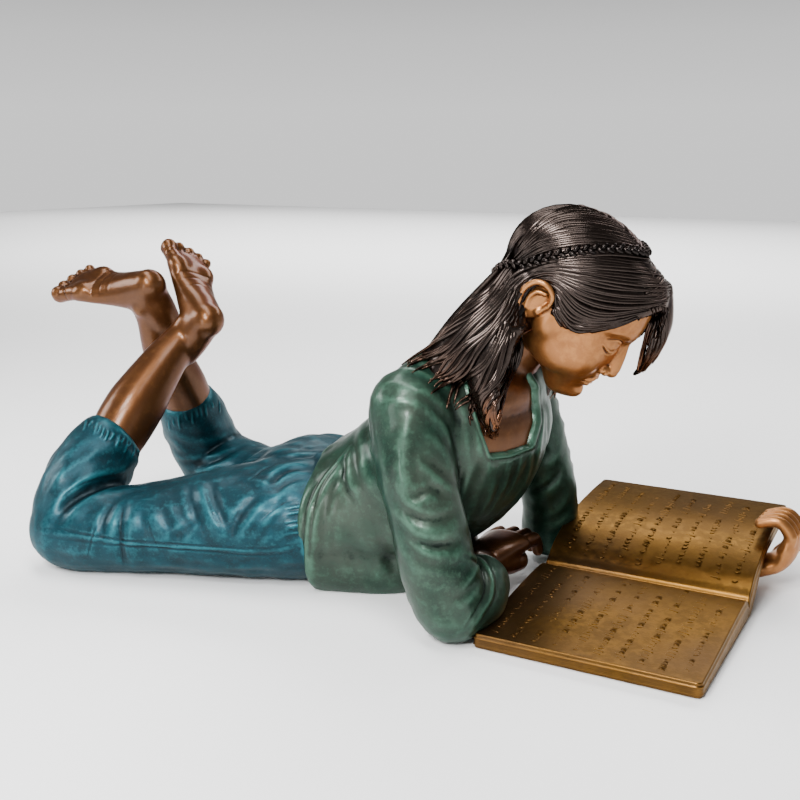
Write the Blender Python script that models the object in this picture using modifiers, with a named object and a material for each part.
"""Bronze statue of a girl who lies reading: the figure's casting and the open book.

Lengths are in metres, +Z is up and +X runs from the feet to the book. The figure's places are
given in millimetres on a girl of 1320 mm, and follow STANDING_HEIGHT as shares of it.
"""
import math

import bmesh
import bpy
from mathutils import Matrix, Vector

# Driving dimensions
STANDING_HEIGHT = 1.32
FOOT_LENGTH = 0.205
HEAD_PITCH = math.radians(41.0)
HEAD_YAW = math.radians(5.0)
PAGE_HEIGHT = 0.272
NEAR_PAGE_WIDTH = 0.237
FAR_PAGE_WIDTH = 0.242
BOOK_BLOCK = 0.018
BOOK_YAW = math.radians(4.0)
BOOK_CLEARANCE = 0.0007

# How finely the casting is made
VOXEL = 0.0040
FIGURE_TRIANGLES = 9200
RING_SIDES = 20
FOLD_SIDES = 8
SPAN_STEPS = 4
DOME_STEPS = 3

MODEL_HEIGHT_MM = 1320.0
MODEL_FOOT_MM = 205.0
MODEL_PAGE_HEIGHT_MM = 272.0
MODEL_BLOCK_MM = 18.0
MM = STANDING_HEIGHT / MODEL_HEIGHT_MM
# the book's gutter, in mm on the 1320 mm girl, and how far its edge is past the modelled hand
GUTTER_PLACE = (275, 78, 0)
HAND_REACH = (PAGE_HEIGHT / MM - MODEL_PAGE_HEIGHT_MM) / 2
ALONG_X = (1, 0, 0)
ALONG_Y = (0, 1, 0)

# Limb stations: x, y, z, half width and half depth, in mm on the 1320 mm girl
RIGHT_THIGH = ((-140, -66, 80, 92, 84), (-200, -100, 78, 92, 82), (-285, -145, 68, 80, 72),
               (-370, -190, 58, 70, 62), (-428, -222, 54, 64, 59), (-461, -238, 54, 57, 57))
RIGHT_KNEE = ((-460, -234, 56, 57, 59), (-472, -208, 96, 58, 60), (-475, -176, 130, 56, 56),
              (-470, -148, 158, 52, 49), (-466, -136, 168, 46, 43))
LEFT_THIGH = ((-140, 48, 82, 92, 84), (-200, 62, 78, 90, 80), (-300, 92, 58, 76, 58),
              (-400, 118, 50, 66, 50), (-490, 136, 52, 62, 55), (-536, 144, 56, 56, 56))
LEFT_KNEE = ((-532, 142, 58, 58, 60), (-538, 122, 100, 58, 60), (-536, 100, 138, 55, 56),
             (-532, 84, 166, 49, 49), (-531, 78, 176, 44, 43))
RIGHT_SHIN = ((-474, -148, 146, 40), (-464, -104, 202, 44), (-450, -60, 258, 35),
              (-438, -26, 296, 28), (-428, -6, 316, 28))
LEFT_SHIN = ((-532, 92, 156, 40), (-530, 62, 212, 41), (-526, 26, 270, 33),
             (-522, 4, 322, 27), (-520, -8, 347, 28))
TORSO = ((-246, -14, 84, 104, 74), (-205, -12, 90, 128, 84), (-150, -10, 88, 140, 84),
         (-88, -8, 108, 134, 96), (-24, -10, 142, 128, 104), (34, -14, 186, 124, 108),
         (78, -18, 240, 124, 92), (94, -22, 280, 112, 64))
HEM = ((-128, -14, 26, 130, 62), (-80, -10, 28, 116, 62), (-28, -6, 32, 96, 58),
       (16, -4, 50, 66, 46))
SHOULDERS = ((54, -140, 274, 51), (60, -92, 288, 53), (74, -24, 300, 54), (84, 40, 288, 51),
             (84, 88, 264, 47))
RIGHT_UPPER_ARM = ((54, -146, 276, 51), (66, -157, 224, 50), (84, -165, 168, 47),
                   (102, -167, 108, 46), (116, -163, 60, 47), (122, -158, 42, 46))
RIGHT_SLEEVE = ((122, -158, 42, 46), (128, -124, 42, 44), (124, -92, 44, 38),
                (118, -76, 46, 35))
RIGHT_FOREARM = ((120, -96, 46, 31), (104, -56, 46, 27), (88, -24, 45, 23, 19))
LEFT_UPPER_ARM = ((82, 90, 260, 46), (92, 106, 214, 43), (102, 128, 150, 41),
                  (106, 148, 92, 40), (100, 162, 44, 41))
LEFT_SLEEVE = ((98, 163, 40, 40), (116, 172, 28, 31, 27), (140, 180, 25, 26, 24))
LEFT_FOREARM = ((124, 178, 25, 26, 24), (290, 196, 24, 23, 21),
                (366 + HAND_REACH, 202, 26, 22, 16), (392 + HAND_REACH, 206, 30, 24, 14))


def at(x, y, z):
    """A place on the figure, given in millimetres on the 1320 mm girl."""
    return Vector((x, y, z)) * MM


def clear_scene():
    for thing in list(bpy.data.objects):
        bpy.data.objects.remove(thing, do_unlink=True)


def bronze(name, colour, roughness):
    material = bpy.data.materials.new(name)
    material.use_nodes = True
    shader = material.node_tree.nodes["Principled BSDF"]
    shader.inputs["Base Color"].default_value = (*colour, 1.0)
    shader.inputs["Metallic"].default_value = 1.0
    shader.inputs["Roughness"].default_value = roughness
    return material


# Lofted limbs and the folds that lie on them

def catmull_rom(points, t):
    """The value at share t of a Catmull-Rom curve through the points."""
    spans = len(points) - 1
    span = min(int(t * spans), spans - 1)
    local = t * spans - span
    start, end = Vector(points[span]), Vector(points[span + 1])
    before = Vector(points[max(span - 1, 0)])
    after = Vector(points[min(span + 2, spans)])
    return 0.5 * (2 * start + (end - before) * local
                  + (2 * before - 5 * start + 4 * end - after) * local ** 2
                  + (3 * start - before - 3 * end + after) * local ** 3)


def section(stations, across, t, frame=None):
    """The limb's centre, its two section axes and its half sizes at share t of its length."""
    rows = [s if len(s) == 5 else (*s, s[3]) for s in stations]
    row = catmull_rom(rows, t)
    step = 0.01
    low, high = catmull_rom(rows, max(t - step, 0.0)), catmull_rom(rows, min(t + step, 1.0))
    frame = frame or Matrix.Identity(4)
    turn = frame.to_3x3()
    tangent = (turn @ (Vector(high[:3]) - Vector(low[:3]))).normalized()
    across = turn @ Vector(across)
    side = (across - across.dot(tangent) * tangent).normalized()
    return frame @ at(*row[:3]), tangent, side, tangent.cross(side), row[3] * MM, row[4] * MM


def limb(cage, stations, across=ALONG_Y, frame=None, sides=RING_SIDES, steps=SPAN_STEPS):
    """A closed tube with domed ends through the stations."""
    spans = (len(stations) - 1) * steps
    rings = []
    for i in range(spans + 1):
        centre, tangent, side, other, wide, deep = section(stations, across, i / spans, frame)
        shifts = [(0.0, 1.0)]
        if i in (0, spans):
            dome = [math.pi / 2 * k / (DOME_STEPS + 1) for k in range(DOME_STEPS + 1)]
            shifts = [(math.sin(a), math.cos(a)) for a in dome]
        if i == 0:
            shifts = [(-along, scale) for along, scale in reversed(shifts)]
        for along, scale in shifts:
            middle = centre + tangent * along * min(wide, deep)
            ring = []
            for k in range(sides):
                angle = 2 * math.pi * k / sides
                ring.append(cage.verts.new(middle + side * math.cos(angle) * wide * scale
                                           + other * math.sin(angle) * deep * scale))
            rings.append(ring)
    for low, high in zip(rings, rings[1:]):
        for k in range(sides):
            n = (k + 1) % sides
            cage.faces.new((low[k], low[n], high[n], high[k]))
    cage.faces.new(list(reversed(rings[0])))
    cage.faces.new(rings[-1])


def ball(cage, place, radii, frame=None):
    """An ellipsoid at a place in mm, with its three half lengths in mm."""
    frame = frame or Matrix.Identity(4)
    size = Matrix.Diagonal((*(Vector(radii) * MM), 1.0))
    matrix = frame @ Matrix.Translation(at(*place)) @ size
    bmesh.ops.create_uvsphere(cage, u_segments=24, v_segments=16, radius=1.0, matrix=matrix)


def fold(cage, stations, across, route, radius, sunk=0.15):
    """A ridge of cloth on a limb, through (share of its length, angle round it in degrees)."""
    places = []
    for share, degrees in route:
        centre, tangent, side, other, wide, deep = section(stations, across, share)
        angle = math.radians(degrees)
        out = side * math.cos(angle) * wide + other * math.sin(angle) * deep
        inward = radius * MM * sunk
        places.append((centre + out - out.normalized() * inward) / MM)
    last = len(places) - 1
    taper = [1.0 if 0 < i < last else 0.35 for i in range(last + 1)]
    limb(cage, [(*place, radius * share) for place, share in zip(places, taper)],
         across=(0.3, 0.5, 0.8), sides=FOLD_SIDES, steps=3)


def hoop(cage, stations, across, share, radius, sunk=0.3):
    """A closed band round a limb, such as an elastic or a hem."""
    route = [(share, 30 * k) for k in range(13)]
    places = []
    for part, degrees in route:
        centre, tangent, side, other, wide, deep = section(stations, across, part)
        angle = math.radians(degrees)
        out = side * math.cos(angle) * wide + other * math.sin(angle) * deep
        places.append((centre + out - out.normalized() * radius * MM * sunk) / MM)
    limb(cage, [(*place, radius) for place in places], across=(0.3, 0.5, 0.8),
         sides=FOLD_SIDES, steps=2)


# The legs and feet

def legs(cage):
    limb(cage, RIGHT_THIGH)
    limb(cage, RIGHT_KNEE, across=ALONG_X)
    limb(cage, LEFT_THIGH)
    limb(cage, LEFT_KNEE, across=ALONG_X)
    limb(cage, RIGHT_SHIN, across=ALONG_X)
    limb(cage, LEFT_SHIN, across=ALONG_X)
    for knee in (RIGHT_KNEE, LEFT_KNEE):
        hoop(cage, knee, ALONG_X, 0.97, 6)
        hoop(cage, knee, ALONG_X, 0.80, 5)
        for start in range(0, 360, 45):
            fold(cage, knee, ALONG_X, ((0.80, start), (0.66, start + 8), (0.48, start + 4)), 6)
    for thigh, outer in ((RIGHT_THIGH, -1), (LEFT_THIGH, 1)):
        facing = 180 if outer < 0 else 0
        fold(cage, thigh, ALONG_Y, ((0.98, facing - 70 * outer), (0.84, facing - 40 * outer),
                                    (0.72, facing), (0.62, facing + 30 * outer)), 8)
        fold(cage, thigh, ALONG_Y, ((0.90, facing - 80 * outer), (0.74, facing - 55 * outer),
                                    (0.56, facing - 20 * outer)), 8)
        fold(cage, thigh, ALONG_Y, ((0.04, facing - 20 * outer), (0.20, facing - 34 * outer),
                                    (0.40, facing - 60 * outer)), 8)
        fold(cage, thigh, ALONG_Y, ((0.04, facing + 10 * outer), (0.22, facing),
                                    (0.44, facing - 12 * outer)), 7)


def foot_frame(ankle, toes_to, sole_to):
    """A foot's own axes: x to the toes, y to the big toe's side, z out of the sole."""
    forward = Vector(toes_to).normalized()
    sole = Vector(sole_to)
    sole = (sole - sole.dot(forward) * forward).normalized()
    inner = sole.cross(forward)
    turn = Matrix((forward, inner, sole)).transposed().to_4x4()
    grow = FOOT_LENGTH / MM / MODEL_FOOT_MM
    return (Matrix.Translation(at(*ankle)) @ turn @ Matrix.Scale(grow, 4)
            @ Matrix.Translation(at(-48, 0, 60)))


def foot(cage, frame):
    """A bare foot, given in mm at a length of 205 mm from heel to big toe."""
    ball(cage, (29, 0, -28), (29, 26, 28), frame)
    limb(cage, [(32, 0, -84, 22, 24), (40, 0, -62, 27, 28), (52, 0, -44, 28, 30)], frame=frame)
    limb(cage, [(30, 0, -30, 25, 26), (62, -2, -34, 27, 28), (98, -3, -30, 31, 22),
                (132, -1, -22, 36, 17), (156, -1, -16, 39, 14), (172, 0, -12, 34, 10)],
         frame=frame)
    toes = ((150, 25, 203, 27, 12.0), (160, 9, 201, 11, 8.5), (158, -6, 194, -6, 8.0),
            (152, -18, 185, -21, 7.5), (146, -29, 173, -34, 7.0))
    for root_x, root_y, tip_x, tip_y, radius in toes:
        bend = 0.62 * root_x + 0.38 * tip_x
        limb(cage, [(root_x, root_y, -12, radius), (bend, 0.5 * (root_y + tip_y), -14, radius),
                    (tip_x - radius, tip_y, -radius * 0.8, radius)], frame=frame, sides=12)


# The body and arms

def torso(cage):
    limb(cage, TORSO)
    ball(cage, (-214, -14, 74), (74, 128, 78))
    for y in (-56, 34):
        ball(cage, (-196, y, 108), (72, 58, 62))
    limb(cage, HEM)
    limb(cage, SHOULDERS, across=ALONG_X)
    for side in (-1, 1):
        facing = 0 if side > 0 else 180
        fold(cage, TORSO, ALONG_Y, ((0.34, facing - 30 * side), (0.50, facing - 44 * side),
                                    (0.66, facing - 52 * side)), 8)
        fold(cage, TORSO, ALONG_Y, ((0.36, facing + 4 * side), (0.52, facing - 6 * side),
                                    (0.70, facing - 14 * side)), 8)


def arms(cage):
    limb(cage, RIGHT_UPPER_ARM, across=ALONG_X)
    limb(cage, RIGHT_SLEEVE, across=ALONG_X)
    limb(cage, RIGHT_FOREARM, across=ALONG_X)
    limb(cage, LEFT_UPPER_ARM)
    limb(cage, LEFT_SLEEVE)
    limb(cage, LEFT_FOREARM)
    hoop(cage, RIGHT_SLEEVE, ALONG_X, 0.98, 5)
    # folds that wrap the sleeves above the bent elbows
    for low, high, turn in ((0.80, 0.66, 0), (0.70, 0.54, 10), (0.58, 0.44, 24), (0.40, 0.28, 40),
                            (0.24, 0.14, 60)):
        for arm, across, start, way in ((RIGHT_UPPER_ARM, ALONG_X, 160, -1),
                                        (LEFT_UPPER_ARM, ALONG_Y, -40, 1)):
            fold(cage, arm, across, ((low, start + way * turn),
                                     (0.5 * (low + high), start + way * (turn + 45)),
                                     (high, start + way * (turn + 100))), 6.5)


def right_hand(cage):
    limb(cage, [(90, -26, 46, 25, 19), (89, 6, 47, 31, 18), (88, 38, 46, 34, 16)],
         across=ALONG_X)
    fingers = ((62, 44, 62, 76, 66, 98), (78, 48, 78, 86, 81, 110),
               (95, 48, 96, 86, 100, 110), (110, 40, 113, 74, 118, 96))
    for root_x, root_y, bend_x, bend_y, tip_x, tip_y in fingers:
        limb(cage, [(root_x, root_y, 47, 10), (bend_x, bend_y, 50, 9.5), (tip_x, tip_y, 22, 9)],
             across=ALONG_X, sides=12)
    limb(cage, [(110, -8, 36, 12), (126, 22, 26, 10.5), (126, 52, 15, 9)], across=ALONG_X,
         sides=12)


def left_hand(cage):
    """The hand that holds the page's edge, wherever the page's size puts that edge."""
    holds = Matrix.Translation(at(HAND_REACH, 0, 0))
    limb(cage, [(388, 206, 30, 26, 13), (412, 214, 38, 30, 13), (424, 218, 56, 32, 12)],
         frame=holds)
    for k in range(4):
        y = 246 - 15 * k
        limb(cage, [(422, y, 58, 8.5), (430, y, 80, 8.5), (414, y - 3, 99, 8),
                    (390, y - 6, 94.5, 7.5)], frame=holds, sides=12)
    limb(cage, [(414, 240, 44, 12), (430, 248, 62, 11), (436, 246, 84, 9.5)], frame=holds,
         sides=12)


# The head and hair, in the head's own axes: x to the face, y to its left, z to the crown

HAIR_CENTRE = (-8, 0, 22)
HAIR_RADII = (104, 78, 82)


def head_frame():
    turn = Matrix.Rotation(HEAD_YAW, 4, "Z") @ Matrix.Rotation(HEAD_PITCH, 4, "Y")
    return Matrix.Translation(at(200, 0, 402)) @ turn


def head(cage, frame):
    limb(cage, [(86, -20, 292, 60, 52), (106, -14, 328, 47, 46), (136, -8, 358, 46, 46),
                (164, -2, 382, 46, 46)])
    ball(cage, (-4, 0, 18), (92, 71, 78), frame)
    limb(cage, [(34, 0, 30, 56, 48), (42, 0, -20, 56, 42), (46, 0, -58, 46, 38),
                (56, 0, -88, 26, 24), (62, 0, -94, 18, 18)], frame=frame)
    limb(cage, [(80, 0, 2, 8), (88, 0, -18, 9), (92, 0, -30, 11, 9)], frame=frame, sides=12)
    for side in (-1, 1):
        ball(cage, (68, 30 * side, -4), (14, 17, 11), frame)
        ball(cage, (-8, 70 * side, -14), (15, 8, 26), frame)
        ball(cage, (84, 8 * side, -36), (8, 7, 6), frame)
    ball(cage, (80, 0, -55), (9, 20, 5), frame)
    ball(cage, (79, 0, -64), (9, 16, 5), frame)


def on_hair(azimuth, height):
    """A place on the hair cap: degrees round from the face, and degrees up."""
    across, up = math.radians(azimuth), math.radians(height)
    shares = (math.cos(up) * math.cos(across), math.cos(up) * math.sin(across), math.sin(up))
    return tuple(c + r * share for c, r, share in zip(HAIR_CENTRE, HAIR_RADII, shares))


def hair(cage, frame):
    ball(cage, HAIR_CENTRE, HAIR_RADII, frame)
    # locks combed from the brow over the sides to the nape
    steps = 7
    for side in (-1, 1):
        for lock in range(8):
            start, end = 22 + 8.5 * lock, -30 + 11 * lock
            route = []
            for k in range(steps):
                share = k / (steps - 1)
                azimuth = 24 + (168 - 24) * share
                height = start + (end - start) * share ** 1.2
                route.append((*on_hair(azimuth * side, height), 6.5))
            limb(cage, route, across=(0.1, 0.2, 1), frame=frame, sides=FOLD_SIDES, steps=2)
    # hair that hangs over the back and the shoulders, and locks in front of them
    falls = (((150, -4, 420, 76, 44), (116, -15, 386, 88, 40), (80, -22, 350, 103, 34),
              (50, -26, 330, 103, 20)),
             ((156, -56, 424, 30, 26), (122, -92, 378, 32, 26), (94, -118, 336, 30, 20),
              (80, -132, 312, 16, 11)),
             ((170, -62, 418, 26, 22), (144, -92, 370, 28, 22), (134, -110, 326, 25, 18),
              (146, -118, 286, 16, 12), (154, -120, 258, 7, 7)),
             ((156, 56, 418, 30, 26), (124, 76, 374, 30, 24), (98, 88, 334, 26, 18),
              (86, 92, 314, 14, 10)),
             ((176, 60, 408, 24, 20), (160, 66, 360, 22, 18), (146, 56, 312, 16, 12),
              (138, 42, 262, 10, 8), (136, 30, 232, 6, 5)))
    for number, fall in enumerate(falls):
        across = ALONG_Y if number == 0 else ALONG_X
        limb(cage, fall, across=across)
        for degrees in range(20, 360, 32):
            route = [(share, degrees) for share in (0.12, 0.4, 0.7, 0.95)]
            fold(cage, fall, across, route, 6.5)
    # forelock on the far side of the brow
    limb(cage, [(72, 40, 66, 16, 12), (94, 50, 30, 15, 10), (102, 54, -8, 12, 8),
                (100, 54, -36, 5, 5)], frame=frame, sides=12)
    # braids from the front of the crown to the nape
    for side in (-1, 1):
        braid = ((20, 6, 104), (8, 35, 98), (-12, 60, 82), (-40, 76, 50), (-62, 74, 12),
                 (-82, 44, -26), (-92, 8, -44))
        limb(cage, [(x, y * side, z, 8.5) for x, y, z in braid], across=(0, 0, 1), frame=frame,
             sides=10)


# Making the solids

def solid_from(cage, name, material):
    bmesh.ops.recalc_face_normals(cage, faces=cage.faces)
    mesh = bpy.data.meshes.new(name)
    cage.to_mesh(mesh)
    cage.free()
    thing = bpy.data.objects.new(name, mesh)
    thing.data.materials.append(material)
    bpy.context.scene.collection.objects.link(thing)
    return thing


def applied(thing):
    """The object with its modifiers made into plain mesh."""
    graph = bpy.context.evaluated_depsgraph_get()
    mesh = bpy.data.meshes.new_from_object(thing.evaluated_get(graph))
    thing.modifiers.clear()
    thing.data = mesh
    return thing


def cut_flat(thing, height):
    """Cuts everything below the height off and closes the cut with flat faces."""
    cage = bmesh.new()
    cage.from_mesh(thing.data)
    everything = cage.verts[:] + cage.edges[:] + cage.faces[:]
    cut = bmesh.ops.bisect_plane(cage, geom=everything, plane_co=(0, 0, height),
                                 plane_no=(0, 0, 1), clear_inner=True, dist=1e-6)
    rim = [edge for edge in cut["geom_cut"] if isinstance(edge, bmesh.types.BMEdge)]
    bmesh.ops.triangle_fill(cage, use_beauty=True, use_dissolve=False, edges=rim)
    bmesh.ops.recalc_face_normals(cage, faces=cage.faces)
    bmesh.ops.triangulate(cage, faces=cage.faces)
    cage.to_mesh(thing.data)
    cage.free()


def make_room(thing, other):
    """Cuts a slightly grown copy of the other solid out of the thing."""
    grown = bmesh.new()
    grown.from_mesh(other.data)
    grown.normal_update()
    for vertex in grown.verts:
        vertex.co += vertex.normal * BOOK_CLEARANCE
    cutter = solid_from(grown, "room for " + other.name, other.data.materials[0])
    cut = thing.modifiers.new("Room", "BOOLEAN")
    cut.operation = "DIFFERENCE"
    cut.solver = "EXACT"
    cut.object = cutter
    applied(thing)
    bpy.data.objects.remove(cutter, do_unlink=True)


def figure(open_book):
    """One casting; its near sleeve leans on the book's edge, so room is cut for that."""
    cage = bmesh.new()
    legs(cage)
    foot(cage, foot_frame(RIGHT_SHIN[-1][:3], (-0.763, 0.437, 0.471), (0.577, 0.142, 0.804)))
    foot(cage, foot_frame(LEFT_SHIN[-1][:3], (-0.987, -0.037, -0.132), (-0.098, -0.481, 0.871)))
    torso(cage)
    arms(cage)
    right_hand(cage)
    left_hand(cage)
    frame = head_frame()
    head(cage, frame)
    hair(cage, frame)
    thing = solid_from(cage, "girl_figure", bronze("Patinated bronze", (0.12, 0.22, 0.18), 0.4))
    remesh = thing.modifiers.new("One skin", "REMESH")
    remesh.mode = "VOXEL"
    remesh.voxel_size = VOXEL
    smooth = thing.modifiers.new("Soft joints", "SMOOTH")
    smooth.factor = 0.5
    smooth.iterations = 2
    applied(thing)
    triangles = sum(len(polygon.vertices) - 2 for polygon in thing.data.polygons)
    thin = thing.modifiers.new("Facets", "DECIMATE")
    thin.ratio = FIGURE_TRIANGLES / triangles
    applied(thing)
    cut_flat(thing, 0.0)
    make_room(thing, open_book)
    return thing


# The book

def book_outline():
    """The open book's end outline, across the pages and up, from its gutter at zero."""
    near, far, block = NEAR_PAGE_WIDTH, FAR_PAGE_WIDTH, BOOK_BLOCK
    rise = BOOK_BLOCK / MODEL_BLOCK_MM
    near_top = ((-near, block), (-0.64 * near, block + 6 * rise), (-0.30 * near, block + 13 * rise),
                (-0.13 * near, block + 15 * rise), (-0.05 * near, block + 13 * rise),
                (0.0, block + 4 * rise))
    far_top = ((0.04 * far, block + 18 * rise), (0.12 * far, block + 32 * rise),
               (0.30 * far, block + 48 * rise), (0.53 * far, block + 59 * rise),
               (0.77 * far, block + 64 * rise), (far, block + 66 * rise))
    far_bottom = ((far, 66 * rise), (0.77 * far, 64 * rise), (0.53 * far, 58.5 * rise),
                  (0.37 * far, 55 * rise), (0.27 * far, 42 * rise), (0.15 * far, 14 * rise),
                  (0.08 * far, 0.0))
    return near_top + far_top + far_bottom + ((-near, 0.0),)


def book():
    outline = bpy.data.curves.new("open_book", "CURVE")
    outline.dimensions = "2D"
    outline.fill_mode = "BOTH"
    outline.extrude = PAGE_HEIGHT / 2
    spline = outline.splines.new("POLY")
    points = book_outline()
    spline.points.add(len(points) - 1)
    for point, (across, up) in zip(spline.points, points):
        point.co = (across, up, 0.0, 1.0)
    spline.use_cyclic_u = True
    thing = bpy.data.objects.new("open_book", outline)
    bpy.context.scene.collection.objects.link(thing)
    graph = bpy.context.evaluated_depsgraph_get()
    mesh = bpy.data.meshes.new_from_object(thing.evaluated_get(graph))
    bpy.data.objects.remove(thing, do_unlink=True)
    cage = bmesh.new()
    cage.from_mesh(mesh)
    bmesh.ops.remove_doubles(cage, verts=cage.verts, dist=1e-5)
    # stood on end: the outline's x runs along Y, its y up, and its depth along X
    stand = Matrix(((0, 0, 1, 0), (1, 0, 0, 0), (0, 1, 0, 0), (0, 0, 0, 1)))
    turn = Matrix.Rotation(BOOK_YAW, 4, "Z")
    place = Matrix.Translation(at(*GUTTER_PLACE))
    bmesh.ops.transform(cage, matrix=place @ turn @ stand, verts=cage.verts)
    return solid_from(cage, "open_book", bronze("Golden brown bronze", (0.30, 0.20, 0.08), 0.35))


def stand_on_origin(things):
    """Puts the middle of everything's box over the origin, on the ground."""
    corners = [vertex.co for thing in things for vertex in thing.data.vertices]
    middle = [(min(c[i] for c in corners) + max(c[i] for c in corners)) / 2 for i in (0, 1)]
    low = min(c[2] for c in corners)
    shift = Matrix.Translation((-middle[0], -middle[1], -low))
    for thing in things:
        thing.data.transform(shift)


def main():
    clear_scene()
    parts = bpy.data.collections.new("Bronze reading girl")
    bpy.context.scene.collection.children.link(parts)
    pages = book()
    things = [figure(pages), pages]
    stand_on_origin(things)
    for thing in things:
        bpy.context.scene.collection.objects.unlink(thing)
        parts.objects.link(thing)
        thing.data.shade_smooth()
        thing.data.set_sharp_from_angle(angle=math.radians(40))


main()
